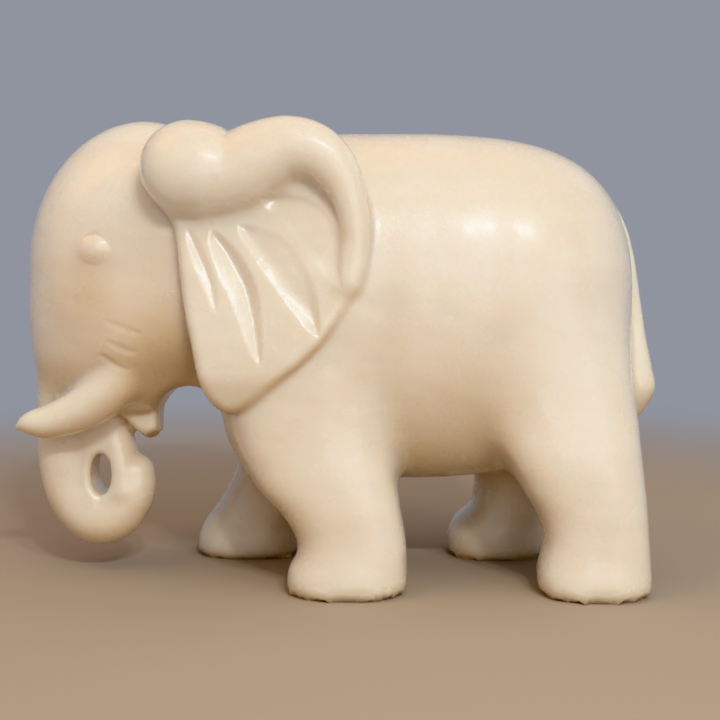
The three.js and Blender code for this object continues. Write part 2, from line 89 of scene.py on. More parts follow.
# %% Rounded masses
def mass(centre, radii, profile, square):
    """A rounded mass. profile squares its side view, and square squares it across."""

    def form(x, y, z):
        u = np.abs(x - centre[0]) / radii[0]
        v = np.abs(y - centre[1]) / radii[1]
        w = np.abs(z - centre[2]) / radii[2]
        p = np.maximum((u**profile + w**profile) ** (1 / profile), 1e-9)
        s = np.maximum((p**square + v**square) ** (1 / square), 1e-9)
        along = (p / s) ** (square - 1)
        slope_x = along * (u / p) ** (profile - 1) / radii[0]
        slope_y = (v / s) ** (square - 1) / radii[1]
        slope_z = along * (w / p) ** (profile - 1) / radii[2]
        return (s - 1) / np.sqrt(slope_x**2 + slope_y**2 + slope_z**2)

    return form


# %% [markdown]
# Limbs
#
# The trunk, the tusks, the tail and the roll of the ear are tapered and curved. Each is a
# short list of stations, x, y, z and radius, with a smooth curve through them. The nearest
# place on the curve is first guessed on straight pieces, and then slid along the curve by
# Newton's method, because straight pieces alone would leave rings on the polished stone.

# %% Smooth runs and limbs
def smooth_run(stations, t):
    """Rows at places t on a smooth run through the stations, with first and second slopes."""
    last = len(stations) - 1
    i = np.minimum(t.astype(int), last - 1)
    u = (t - i)[:, None]
    before = stations[np.maximum(i - 1, 0)]
    start = stations[i]
    end = stations[i + 1]
    after = stations[np.minimum(i + 2, last)]
    b1 = (end - before) / 2
    b2 = (2 * before - 5 * start + 4 * end - after) / 2
    b3 = (3 * start - before - 3 * end + after) / 2
    row = start + b1 * u + b2 * u * u + b3 * u**3
    return row, b1 + 2 * b2 * u + 3 * b3 * u * u, 2 * b2 + 6 * b3 * u


def limb(stations, wide=1.0):
    """A round limb through [x, y, z, radius] stations. wide stretches its section across Y."""
    spine = np.array(stations, float)
    spine[:, 1] /= wide
    last = len(spine) - 1
    beads = smooth_run(spine, np.linspace(0, last, 2 * last + 1))[0][:, :3]

    def form(x, y, z):
        points = np.stack([x, y / wide, z], 1)
        nearest = np.full(len(x), np.inf)
        t = np.zeros(len(x))
        for k, (a, b) in enumerate(zip(beads[:-1], beads[1:])):
            along = np.clip((points - a) @ (b - a) / ((b - a) @ (b - a)), 0, 1)
            gap = ((points - a - along[:, None] * (b - a)) ** 2).sum(1)
            closer = gap < nearest
            nearest = np.where(closer, gap, nearest)
            t = np.where(closer, (k + along) / 2, t)
        for _ in range(2):
            row, slope, bend = smooth_run(spine, t)
            away = row[:, :3] - points
            speed = (slope[:, :3] ** 2).sum(1)
            curl = (away * bend[:, :3]).sum(1)
            slide = (away * slope[:, :3]).sum(1) / np.maximum(speed + curl, 0.3 * speed)
            t = np.clip(t - np.clip(slide, -0.3, 0.3), 0, last)
        row = smooth_run(spine, t)[0]
        return (np.linalg.norm(row[:, :3] - points, axis=1) - row[:, 3]) * min(1.0, wide)

    return form


# %% [markdown]
# Legs
#
# Each leg is a stack of level sections. A section is a rounded square between a front, a
# rear, an inner and an outer face, so the profile of a leg can be given face by face.

# %% Legs as pillars
def pillar(stations, square=2.6):
    """A leg through [height, front, rear, inner, outer] sections."""
    table = np.array(stations, float)
    heights = table[:, 0]
    top = heights[-1]
    above = np.minimum(np.arange(len(table)) + 1, len(table) - 1)
    below = np.maximum(np.arange(len(table)) - 1, 0)
    tangent = (table[above] - table[below]) / (heights[above] - heights[below])[:, None]

    def form(x, y, z):
        level = np.clip(z, heights[0], top)
        i = np.clip(np.searchsorted(heights, level, side="right") - 1, 0, len(table) - 2)
        h = heights[i + 1] - heights[i]
        t = (level - heights[i]) / h
        from_start = (2 * t**3 - 3 * t * t + 1)[:, None] * table[i]
        from_end = (3 * t * t - 2 * t**3)[:, None] * table[i + 1]
        leaving = ((t**3 - 2 * t * t + t) * h)[:, None] * tangent[i]
        arriving = ((t**3 - t * t) * h)[:, None] * tangent[i + 1]
        _, front, rear, inner, outer = (from_start + from_end + leaving + arriving).T
        a = (rear - front) / 2
        b = np.abs(outer - inner) / 2
        u = np.abs(x - (front + rear) / 2) / a
        v = np.abs(y - (inner + outer) / 2) / b
        s = np.maximum((u**square + v**square) ** (1 / square), 1e-9)
        slope = np.sqrt(((u / s) ** (square - 1) / a) ** 2 + ((v / s) ** (square - 1) / b) ** 2)
        d = (s - 1) / slope
        over = np.hypot(np.maximum(d, 0), z - top) + np.minimum(d, 0)
        return np.where(z > top, over, d)

    return form


# %% [markdown]
# Outlines and drawn lines
#
# The ear is a leaf in relief, so it starts as a drawing on the side of the block: an outline
# and a few lines. What a rule needs from a drawing is how far a point is from it, on which
# side it lies, and how far along the line the nearest place is.

# %% Outlines in the side view
def outline(corners, per_corner=4):
    """A smooth closed run through [x, z] corners."""
    closed = np.array([corners[-1], *corners, corners[0], corners[1]], float)
    return smooth_run(closed, 1 + np.arange(len(corners) * per_corner) / per_corner)[0]


def outline_distance(points, x, z):
    """Signed distance from an outline: negative inside."""
    nearest = np.full(len(x), np.inf)
    inside = np.zeros(len(x), bool)
    for (bx, bz), (ax, az) in zip(points, np.roll(points, 1, 0)):
        ex, ez = bx - ax, bz - az
        h = np.clip(((x - ax) * ex + (z - az) * ez) / (ex * ex + ez * ez), 0, 1)
        nearest = np.minimum(nearest, (x - ax - ex * h) ** 2 + (z - az - ez * h) ** 2)
        crosses = (bz > z) != (az > z)
        inside ^= crosses & (x < (ax - bx) * (z - bz) / (az - bz + 1e-12) + bx)
    return np.where(inside, -1, 1) * np.sqrt(nearest)


def drawn_line(points, per_point=3):
    """A smooth open run through [x, z] points."""
    last = len(points) - 1
    return smooth_run(np.array(points, float), np.linspace(0, last, last * per_point + 1))[0]


def beside_line(line, x, z):
    """Distance from a drawn line, its side (+1 is left of travel) and the place along it."""
    nearest = np.full(len(x), np.inf)
    side = np.ones(len(x))
    place = np.zeros(len(x))
    for k, ((ax, az), (bx, bz)) in enumerate(zip(line[:-1], line[1:])):
        ex, ez = bx - ax, bz - az
        h = np.clip(((x - ax) * ex + (z - az) * ez) / (ex * ex + ez * ez), 0, 1)
        gap = np.hypot(x - ax - ex * h, z - az - ez * h)
        closer = gap < nearest
        nearest = np.where(closer, gap, nearest)
        side = np.where(closer, np.sign(ex * (z - az) - ez * (x - ax)), side)
        place = np.where(closer, (k + h) / (len(line) - 1), place)
    return nearest, side, place


# %% [markdown]
# The torso
#
# One deep barrel carries the back's flat line. The rump, the shoulders, the neck and the
# chest are masses of their own that melt into it with wide fillets, so no seam shows.

# %% Torso
BACK_Z = 154.9
BELLY_Z = 34.5
BODY_HALF_WIDTH = 41.5
barrel_reach = [71, BODY_HALF_WIDTH, (BACK_Z - BELLY_Z) / 2]
barrel = mass([21, 0, (BACK_Z + BELLY_Z) / 2], barrel_reach, 2.7, 2.3)
rump = mass([62.5, 0, 95.5], [38.2, 38.5, 51], 2.35, 2.3)
shoulders = mass([-9, 0, 94], [33, 38, 55], 2.4, 2.4)
neck = mass([-38, 0, 110], [34, 30, 41], 2.3, 2.4)
chest = mass([-14, 0, 60], [25, 34, 32], 2.2, 2.4)


def soft_hollow(x, z, at, low, high, wide, depth):
    """A shallow upright hollow in the side of the body."""
    end_fade = ease((z - low) / 25) * ease((high - z) / 25)
    return depth * end_fade * np.exp(-(((x - at) / wide) ** 2))


def torso(x, y, z):
    d = join(barrel(x, y, z), rump(x, y, z), 14)
    d = join(d, shoulders(x, y, z), 12)
    d = join(d, neck(x, y, z), 16)
    d = join(d, chest(x, y, z), 14)
    d = d + soft_hollow(x, z, 50, 40, 145, 8, 0.9) * ease((np.abs(y) - 15) / 15)
    return d + soft_hollow(x, z, 14, 50, 118, 7, 0.8) * ease((np.abs(y) - 15) / 15)


# %% [markdown]
# Four feet, two strides
#
# The elephant walks: on its right both feet have stepped the other way from the left ones.
# The inner and outer faces are the same for all four legs, and only the side profile differs.

# %% Legs
LEG_LEVELS = [-6, 2, 8, 13.5, 19, 27, 36, 49, 64, 80, 96]
INNER_FACE = [13 + d for d in (0, 0, 0, 0.4, 0.4, 0, -2, -5, -8, -10, -10)]
OUTER_FACE = [46.3 + d for d in (0, 0, -0.5, -1.4, -1.8, -1.8, -1.9, -2.7, -5, -9, -15)]


def leg(side, front, rear):
    inner = [side * face for face in INNER_FACE]
    outer = [side * face for face in OUTER_FACE]
    return pillar(list(zip(LEG_LEVELS, front, rear, inner, outer)))


left_fore = leg(
    -1,
    [-18, -18, -17.6, -14.8, -15.2, -20, -28.2, -34, -37, -33, -26],
    [22.3, 22.3, 22.2, 22.1, 21.6, 20.2, 18.7, 16, 13.5, 9, 5],
)
left_hind = leg(
    -1,
    [66.2, 66.2, 65.8, 67.1, 67.8, 65.6, 60, 53, 48, 47, 51],
    [103.6, 103.6, 103.4, 103, 102.6, 102.1, 101.3, 100, 98.5, 95.5, 90],
)
right_fore = leg(
    1,
    [-56.6, -56.6, -56, -53.2, -49, -44.3, -40.8, -38.5, -37, -33, -26],
    [-17.5, -17.5, -17, -15.5, -12, -6.5, -1, 6, 11, 9, 5],
)
right_hind = leg(
    1,
    [38.4, 38.4, 38.2, 40.8, 46.5, 48.2, 47.6, 47, 46, 47, 51],
    [75, 75, 75.2, 76, 77.5, 81.5, 87, 94, 97.5, 95.5, 90],
)
legs = [left_fore, left_hind, right_fore, right_hind]

# %% [markdown]
# Head, trunk and tusks
#
# The skull is a dome cut flat at the temples, and where dome and temple meet is the brow.
# The trunk runs down the face, round its loop and back up to the mouth. A web of stone fills
# the loop, and a small hole is drilled through it. The throat is an arch cut right through
# from side to side.

# %% Head
HEAD_X = -69.5
CROWN_Z = 159.8
HEAD_HALF_WIDTH = 27.5
TUSK_Y = 18.5
dome = mass([HEAD_X, 0, CROWN_Z - 50.3], [40.9, 30.8, 50], 1.95, 2.2)
jowl = mass([-64, 0, 90], [24, 27, 20], 2.2, 2.6)
muzzle = mass([-78.5, 0, 85], [29.5, 24, 26], 2.3, 2.5)
trunk = limb(
    [
        [-91, 0, 112, 13.5], [-93, 0, 94, 14.8], [-95.6, 0, 78, 13.6], [-98.3, 0, 64, 11.4],
        [-100, 0, 50, 9.9], [-99.5, 0, 37, 9.5], [-96.5, 0, 26, 9.2], [-90, 0, 18.8, 9.1],
        [-82.5, 0, 19.4, 8.8], [-77.2, 0, 25.7, 8.3], [-75, 0, 31.5, 7.4], [-74.6, 0, 35.2, 6.5],
    ],
    1.08,
)
trunk_return = limb(
    [[-79, 0, 30, 7], [-80.4, 0, 43, 6.3], [-82.4, 0, 54, 5.8], [-84.5, 0, 66, 7]], 1.35
)
trunk_web = limb(
    [[-88, 0, 24, 8.5], [-88, 0, 36, 8.5], [-88.5, 0, 50, 8.5], [-90, 0, 62, 10]], 1.05
)
HOLE_X = -85.9
HOLE_Z = 35.6
HOLE_WIDE = 3.7
HOLE_HIGH = 7.4
lip_outline = outline(
    [
        [-65.6, 44.6], [-64.6, 50], [-63.6, 60], [-62, 72], [-72, 78], [-84, 72], [-80, 59.5],
        [-73.5, 52.2], [-68.6, 47.6],
    ]
)
tusks = limb(
    [
        [-67, -16, 82, 8], [-74.8, -TUSK_Y + 0.4, 73, 9.2], [-82.5, -TUSK_Y - 0.3, 65, 8.5],
        [-90.6, -TUSK_Y - 0.3, 59.5, 7.3], [-100.5, -TUSK_Y + 0.2, 55.9, 6],
        [-106.1, -TUSK_Y + 0.5, 55.2, 4.7], [-109.6, -TUSK_Y + 0.8, 54.6, 3.2],
        [-112, -TUSK_Y + 1, 53.8, 1.2],
    ],
    0.95,
)
TUSK_TIP = (-113.1, -TUSK_Y + 1.1, 53.5)
eyes = mass([-82.7, -24.2, 114.7], [5.4, 4.3, 4.5], 2, 2)


def drilled_hole(x, z):
    u, w = (x - HOLE_X) / HOLE_WIDE, (z - HOLE_Z) / HOLE_HIGH
    p = np.maximum(np.hypot(u, w), 1e-6)
    return (p - 1) * p / np.maximum(np.hypot(u / HOLE_WIDE, w / HOLE_HIGH), 1e-6)


def head(x, y, z):
    side = -np.abs(y)
    temple = -side - (HEAD_HALF_WIDTH + 0.03 * (x - HEAD_X))
    d = common(dome(x, y, z), temple, 3)
    d = join(d, jowl(x, y, z), 10)
    d = join(d, muzzle(x, y, z), 10)
    d = join(d, trunk(x, y, z), 7)
    d = join(d, trunk_return(x, y, z), 2)
    d = join(d, trunk_web(x, y, z), 4)
    d = cut(d, drilled_hole(x, z), 1.6)
    d = join(d, common(outline_distance(lip_outline, x, z), -side - 9, 2), 2)
    return join(d, eyes(x, side, z), 2.6)


# %% Throat and tail
ARCH_X = -53.2
ARCH_Z = 55.5
ARCH_RADIUS = 12.2
TAIL_X = 100
tail_spine = [
    [TAIL_X - 12, -1, 134, 2], [TAIL_X - 5, -2, 124, 2.8], [TAIL_X - 1.7, -4, 110, 3.2],
    [TAIL_X - 0.2, -7, 96, 3.4], [TAIL_X + 0.6, -11, 84, 3.9], [TAIL_X + 0.3, -15, 75.5, 5.3],
    [TAIL_X - 0.9, -17.5, 69, 7.4], [TAIL_X - 2.4, -18, 62, 5.4], [TAIL_X - 3.4, -18, 58, 3],
]
tail = limb(tail_spine)
# The rump is cut back on both sides of the tail, so that the tail stands in relief.
tail_bed = [
    limb([[x + 2.2, y + side * (r + 2.2), z, 3.2] for x, y, z, r in tail_spine[1:6]])
    for side in (-1, 1)
]


def throat_arch(x, z):
    return np.hypot(x - ARCH_X, np.maximum(z - ARCH_Z, 0)) - ARCH_RADIUS


# %% [markdown]
# Ears
#
# An ear is a leaf on the side of the neck under a thick roll. Its face leans back toward the
# neck in front and stands proud of the shoulder behind. Four furrows fan across it. Each
# falls gently from a soft crest to a sharp valley and climbs back faster, and these slopes
# are what catches the light, so they are part of the form and not of the material.

# %% Ears
EAR_FACE_Y = 37.5
EAR_LEAN = 0.075
DISH_DEPTH = 4.8
ear_outline = outline(
    [
        [-59.5, 140], [-57, 150.5], [-49, 155.2], [-39, 152.5], [-32, 152], [-21, 155.5],
        [-9.5, 153.5], [-1, 146.5], [5.2, 136], [8.9, 124], [8.6, 112], [4.3, 99], [-6.5, 83],
        [-19.2, 71.6], [-30, 62.8], [-38.5, 61.5], [-45.2, 69], [-48.6, 84], [-51.4, 98],
        [-54, 117], [-58, 130],
    ]
)
ear_roll = limb(
    [
        [-50.5, -34.5, 141.3, 14.8], [-43, -35, 140.4, 14.6], [-34, -36, 140.6, 12.2],
        [-26, -37, 144.6, 11.3], [-16.5, -38, 147.8, 9.6], [-7.5, -38.8, 146.2, 8.4],
        [-0.5, -39.5, 139.8, 7.2], [3.5, -40.5, 130.5, 5.4], [5.2, -41.3, 118, 3.9],
        [3.2, -41.8, 105, 3],
    ],
    0.86,
)
# Each furrow: its valley, the width of its slope and of its rise, its depth, and how soft
# its crest is.
furrows = [
    ([[-50, 122], [-46, 113.5], [-42.2, 105], [-39.5, 94]], 3.8, 3, 1.3, 1.4),
    ([[-42, 121], [-35.5, 112], [-29.2, 99.4], [-25.2, 77]], 6.8, 4, 3, 1.15),
    ([[-33, 122.5], [-21.5, 116], [-11.8, 102.5], [-6.3, 86.5]], 8.6, 4.5, 3.6, 1.25),
    ([[-26, 131.5], [-12, 128], [-3.3, 117], [0.9, 102]], 9, 4.2, 3.6, 1.25),
]
furrows = [(drawn_line(valley), *rest) for valley, *rest in furrows]


def furrow_depth(furrow, x, z):
    line, slope, rise, depth, softness = furrow
    nearest, side, place = beside_line(line, x, z)
    taper = np.sin(np.pi * place) ** 0.7
    reach = np.maximum(np.where(side > 0, rise, slope) * taper, 0.05)
    return depth * taper * np.maximum(1 - nearest / reach, 0) ** softness


def ear_face(x, z):
    """How far the ear's face stands from the middle plane, for a place in the side view."""
    face = EAR_FACE_Y + EAR_LEAN * (x + 55)
    face = face + 4.5 * ease((118 - z) / 45) - 3 * ease((75 - z) / 16)
    face = face - DISH_DEPTH * ease((z - 106) / 26)
    for furrow in furrows:
        face = face - furrow_depth(furrow, x, z)
    return face


def ear(x, y, z):
    side = -np.abs(y)
    leaf = common((-side - ear_face(x, z)) * 0.92, outline_distance(ear_outline, x, z), 4)
    leaf = common(leaf, EAR_FACE_Y - 10.5 + side, 7)
    return join(leaf, ear_roll(x, side, z), 5)


# %% [markdown]
# Carving too fine for the solid
#
# A few small cuts are only in this skin: two folds in each cheek, the edge of the sheath that
# the tusk grows from, and the creases of the eyelids. They are valleys like the ear's furrows,
# but narrow. The polish of the whole figure also wavers a little, as it does where a hand
# guided the stone against the wheel, and that is a slow wave added to the form.

# %% Fine cuts and the wavering polish
# The width of a cut's slope and of its rise, its depth, and how soft its crest is.
FOLD = (2, 1.6, 0.3, 1)
UPPER_LID = (1, 0.8, 0.5, 1)
LOWER_LID = (1, 0.8, 0.2, 1)
fine_cuts = [
    ([(-79.6, 91.3), (-74.5, 89.6), (-69.5, 87.8), (-66, 86.9)], FOLD),
    ([(-79.2, 84.5), (-75, 82.8), (-71.2, 81.1), (-67.9, 80.6)], FOLD),
    ([(-82.5, 78.6), (-80.3, 79.2), (-77.6, 77.3), (-74, 75.2), (-70.5, 74.4)], FOLD),
    ([(-88.3, 115.5), (-85.6, 118.8), (-82.7, 119.9), (-79.9, 119.1), (-77.6, 116.6)], UPPER_LID),
    ([(-87.6, 112.6), (-85.6, 110.4), (-83, 109.5), (-80.2, 110), (-78.2, 111.6)], LOWER_LID),
]
fine_cuts = [(drawn_line(valley), *section) for valley, section in fine_cuts]
WAVER = 0.03


def fine_carving(x, y, z):
    """How far the skin lies under the form, in mm, for the smallest cuts and the polish."""
    depth = WAVER * np.sin(0.52 * x + 0.28 * z) * np.sin(0.46 * z - 0.2 * x + 0.35 * y)
    depth = depth + WAVER * np.sin(0.3 * x - 0.55 * y + 2) * np.sin(0.4 * y + 0.36 * z)
    on_face = (np.abs(y) > 14) & (x < -60) & (z > 70) & (z < 124)
    if on_face.any():
        for one in fine_cuts:
            depth[on_face] += furrow_depth(one, x[on_face], z[on_face])
    return depth


# %% The whole stone
MIDDLE_X = -3.4
MM = 1000.0


def within(d, form, near, softness, x, y, z):
    """Joins a form to d where near is true, and leaves d alone elsewhere."""
    if near.any():
        d[near] = join(d[near], form(x[near], y[near], z[near]), softness)
    return d


def stone(points):
    """The whole form at points given as rows of metres in the row frame; the result is in mm."""
    x, y, z = points[:, 0] * MM + MIDDLE_X, points[:, 1] * MM, points[:, 2] * MM
    d = torso(x, y, z)
    d = within(d, head, x < -30, 12, x, y, z)
    d = cut(d, throat_arch(x, z), 3)
    mirrored = lambda a, b, c: tusks(a, -np.abs(b), c)
    d = within(d, mirrored, x < -50, 2, x, y, z)
    for one in legs:
        d = within(d, one, z < 125, 9, x, y, z)
    on_ear = (x > -75) & (x < 20) & (z > 50) & (np.abs(y) > 12)
    d = within(d, ear, on_ear, 1.5, x, y, z)
    for bed in tail_bed:
        d = cut(d, bed(x, y, z), 4)
    d = within(d, tail, x > 75, 2, x, y, z)
    d = d + fine_carving(x, y, z)
    return common(d, -z, 0.8)


probe = np.array([[0.0, 0.0, 0.2], [0.0, 0.0, 0.1]])
print("above the back and inside the barrel, in mm:", stone(probe).round(1))

# %% [markdown]
# From the solid to a fine skin
#
# The frame's solid has the true shape in about ten thousand flat triangles. A merged copy is
# rebuilt as even quads by a voxel remesh, and the quads are split once more where the stone
# is carved. After each step the skin slides back on to the form and is evened out, so the
# quads never inherit the solid's facets.

# %% Helpers for the skin
TIPS = [
    ((TUSK_TIP[0] - MIDDLE_X) / MM, side * TUSK_TIP[1] / MM, TUSK_TIP[2] / MM) for side in (-1, 1)
]


def coordinates(bm):
    return np.array([v.co[:] for v in bm.verts])


def slope_of_form(points, nudge=0.00004):
    """The form's value and its slope at the points, the slope by small steps."""
    d = stone(points)
    slope = np.empty_like(points)
    for axis in range(3):
        step = np.zeros(3)
        step[axis] = nudge
        slope[:, axis] = (stone(points + step) - d) / (nudge * MM)
    return d, slope


def settle(bm, rounds):
    """Slides every vertex on to the form by Newton steps along the form's slope."""
    points = coordinates(bm)
    for _ in range(rounds):
        d, slope = slope_of_form(points)
        move = -d / np.maximum((slope**2).sum(1), 0.25)
        points += slope * np.clip(move, -1, 1)[:, None] / MM
    for v, place in zip(bm.verts, points):
        v.co = place
    return points


def pin_tips(bm):
    """Puts the nearest vertex on each tusk's tip, and gives back all the others."""
    points = coordinates(bm)
    bm.verts.ensure_lookup_table()
    pinned = set()
    for tip in TIPS:
        nearest = int(np.linalg.norm(points - np.array(tip), axis=1).argmin())
        bm.verts[nearest].co = tip
        pinned.add(nearest)
    return [v for v in bm.verts if v.index not in pinned]


def even_out(bm, rounds, factor=0.5):
    """Moves each vertex toward the middle of its neighbours, and back on to the form."""
    for _ in range(rounds):
        bmesh.ops.smooth_vert(
            bm, verts=pin_tips(bm), factor=factor, use_axis_x=True, use_axis_y=True, use_axis_z=True
        )
    points = settle(bm, 2)
    pin_tips(bm)
    return points


def split_where(bm, chosen):
    """Splits the edges that lie wholly among the chosen vertices."""
    marked = set(np.nonzero(chosen)[0])
    edges = [e for e in bm.edges if e.verts[0].index in marked and e.verts[1].index in marked]
    bmesh.ops.subdivide_edges(bm, edges=edges, cuts=1, use_grid_fill=True)
    bm.verts.index_update()
    return len(edges)


# %% Rebuild the solid as even quads
VOXEL = 0.0023
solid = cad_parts["elephant"]
bm = bmesh.new()
bm.from_mesh(solid.data)
bmesh.ops.remove_doubles(bm, verts=bm.verts, dist=1e-6)
rough = bpy.data.meshes.new("rough_stone")
bm.to_mesh(rough)
bm.free()
carving = bpy.data.objects.new("carved_elephant", rough)
bpy.context.scene.collection.objects.link(carving)
remesh = carving.modifiers.new("even quads", "REMESH")
remesh.mode = "VOXEL"
remesh.voxel_size = VOXEL
remesh.use_smooth_shade = True
bpy.context.view_layer.update()
shown = carving.evaluated_get(bpy.context.evaluated_depsgraph_get())
even = bpy.data.meshes.new_from_object(shown)
carving.modifiers.remove(remesh)
carving.data = even
print("even quads:", len(even.polygons))

# %% Settle the skin
bm = bmesh.new()
bm.from_mesh(carving.data)
bm.verts.index_update()
even_out(bm, 3)
points = even_out(bm, 2)


# %% Split it where the stone is carved
def places(points):
    x, y, z = (points * MM).T
    return x + MIDDLE_X, y, z


x, y, z = places(points)
ear_part = (x > -66) & (x < 14) & (z > 58) & (np.abs(y) > 31)
face_part = (x < -56) & (z < 138)
tail_part = (x > 86) & (z > 52) & (z < 138) & (y > -30) & (y < 8)
print("edges split:", split_where(bm, ear_part | face_part | tail_part))
points = even_out(bm, 2)
x, y, z = places(points)
furrow_part = (x > -56) & (x < 6) & (z > 74) & (z < 133) & (np.abs(y) > 32)
eye_part = (x > -90) & (x < -76) & (z > 108) & (z < 122) & (np.abs(y) > 22)
fold_part = (x > -84) & (x < -64) & (z > 73) & (z < 93) & (np.abs(y) > 18)
tip_part = x < -109
finest = furrow_part | eye_part | fold_part | tip_part
print("edges split again:", split_where(bm, finest))
even_out(bm, 1)
print("faces in the skin:", len(bm.faces))

# %% Finish the mesh
bmesh.ops.recalc_face_normals(bm, faces=bm.faces)
for face in bm.faces:
    face.smooth = True
bm.to_mesh(carving.data)
bm.free()
carving.data.name = "carved_elephant"
carving.data.calc_loop_triangles()
print("triangles:", len(carving.data.loop_triangles))

# %% [markdown]
# Painted shade under the body and in the creases
#
# Shade is painted into the colour here: under the belly and the jaw, between the legs and in
# the creases the stone is made browner and darker, as painted shade. The normal tells what
# faces down. The form itself tells how hollow a place is: a little way out from an open skin
# its value equals the distance walked, and in a crease it stays smaller. The jaw and the face
# before the eye get darker painted shade still, so each gets a soft spot of its own. All of it
# is kept on the mesh as one attribute.

# %% Measure the painted shade
# How strongly shade is painted under the body, at the jaw, before the eye and in the creases.
JAW = (-60, 80, 16, 20)
FACE = (-86, 101, 13, 18)
UNDERSIDE_SHADE = 0.42
JAW_SHADE = 0.4
FACE_SHADE = 0.38
HOLLOW_SHADE = 0.14


def soft_spot(x, z, spot):
    """1 in the middle of a spot given as x, z and its two reaches, fading to 0 around it."""
    at_x, at_z, reach_x, reach_z = spot
    return np.exp(-(((x - at_x) / reach_x) ** 2) - ((z - at_z) / reach_z) ** 2)


# How hollow a place is, for the painted shade in the creases.
def hollowness(points, normals):
    total = np.zeros(len(points))
    for reach, weight in ((5, 0.15), (14, 0.35), (28, 0.5)):
        total += weight * (1 - stone(points + normals * reach / MM) / reach)
    return np.clip(total, 0, 1)


# Painted shade, 0 to 1: darker and browner where the skin faces down, at the jaw, before the eye
# and in hollows.
def painted_shade_at(points, normals):
    x, y, z = places(points)
    under = ease((0.15 - normals[:, 2]) / 0.9) * ease((112 - z) / 40)
    jaw = soft_spot(x, z, JAW) * ease((35 - np.abs(y)) / 4)
    total = UNDERSIDE_SHADE * under + JAW_SHADE * jaw + FACE_SHADE * soft_spot(x, z, FACE)
    return np.clip(total + HOLLOW_SHADE * hollowness(points, normals), 0, 1)


skin = carving.data
places_now = np.empty(len(skin.vertices) * 3)
skin.vertices.foreach_get("co", places_now)
normals_now = np.empty(len(skin.vertices) * 3)
skin.vertex_normals.foreach_get("vector", normals_now)
painted_shade = painted_shade_at(places_now.reshape(-1, 3), normals_now.reshape(-1, 3))
layer = skin.attributes.new("painted_shade", "FLOAT", "POINT")
layer.data.foreach_set("value", painted_shade.astype(np.float32))
print("stain, middle and highest tenth:", np.quantile(painted_shade, [0.5, 0.9]).round(2))

# %% [markdown]
# Jade
#
# Jade is a felt of tiny fibres. Light goes a few millimetres in and comes out warm, which
# softens every shadow, and the polish on top is waxy, not glassy. In Cycles that is the
# Principled shader with subsurface light. The cloudy bands come from stretched noise, and
# a very fine noise in the bump breaks the highlights into the sparkle of the grain.

# %% Node helpers
class Finish:
    """A material under construction, with short ways to add the nodes that it needs."""

    def __init__(self, name):
        self.material = bpy.data.materials.new(name)
        self.material.use_nodes = True
        self.tree = self.material.node_tree
        self.shader = self.tree.nodes["Principled BSDF"]
        self.place = self.tree.nodes.new("ShaderNodeTexCoord").outputs["Object"]

    def noise(self, scale, detail, roughness, stretch=(1, 1, 1)):
        mapping = self.tree.nodes.new("ShaderNodeMapping")
        mapping.inputs["Scale"].default_value = stretch
        texture = self.tree.nodes.new("ShaderNodeTexNoise")
        texture.inputs["Scale"].default_value = scale
        texture.inputs["Detail"].default_value = detail
        texture.inputs["Roughness"].default_value = roughness
        self.tree.links.new(self.place, mapping.inputs["Vector"])
        self.tree.links.new(mapping.outputs["Vector"], texture.inputs["Vector"])
        return texture.outputs["Fac"]

    def ramp(self, value, stops):
        node = self.tree.nodes.new("ShaderNodeValToRGB")
        elements = node.color_ramp.elements
        while len(elements) < len(stops):
            elements.new(0.5)
        for element, (position, colour) in zip(elements, stops):
            element.position = position
            element.color = (*colour, 1)
        self.tree.links.new(value, node.inputs["Fac"])
        return node.outputs["Color"]

    def blend(self, kind, amount, first, second):
        """Blends two colours, the second over the first by the given amount."""
        node = self.tree.nodes.new("ShaderNodeMix")
        node.data_type = "RGBA"
        node.blend_type = kind
        factor, a, b = (node.inputs[i] for i in (0, 6, 7))
        factor.default_value = amount
        self.tree.links.new(first, a)
        self.tree.links.new(second, b)
        return node.outputs[2]

    def span(self, value, from_low, from_high, to_low, to_high):
        node = self.tree.nodes.new("ShaderNodeMapRange")
        for name, number in (
            ("From Min", from_low), ("From Max", from_high), ("To Min", to_low), ("To Max", to_high)
        ):
            node.inputs[name].default_value = number
        self.tree.links.new(value, node.inputs["Value"])
        return node.outputs["Result"]

    def attribute(self, name):
        node = self.tree.nodes.new("ShaderNodeAttribute")
        node.attribute_name = name
        return node.outputs["Fac"]

    def bump(self, height, strength, distance):
        node = self.tree.nodes.new("ShaderNodeBump")
        node.inputs["Strength"].default_value = strength
        node.inputs["Distance"].default_value = distance
        self.tree.links.new(height, node.inputs["Height"])
        return node.outputs["Normal"]


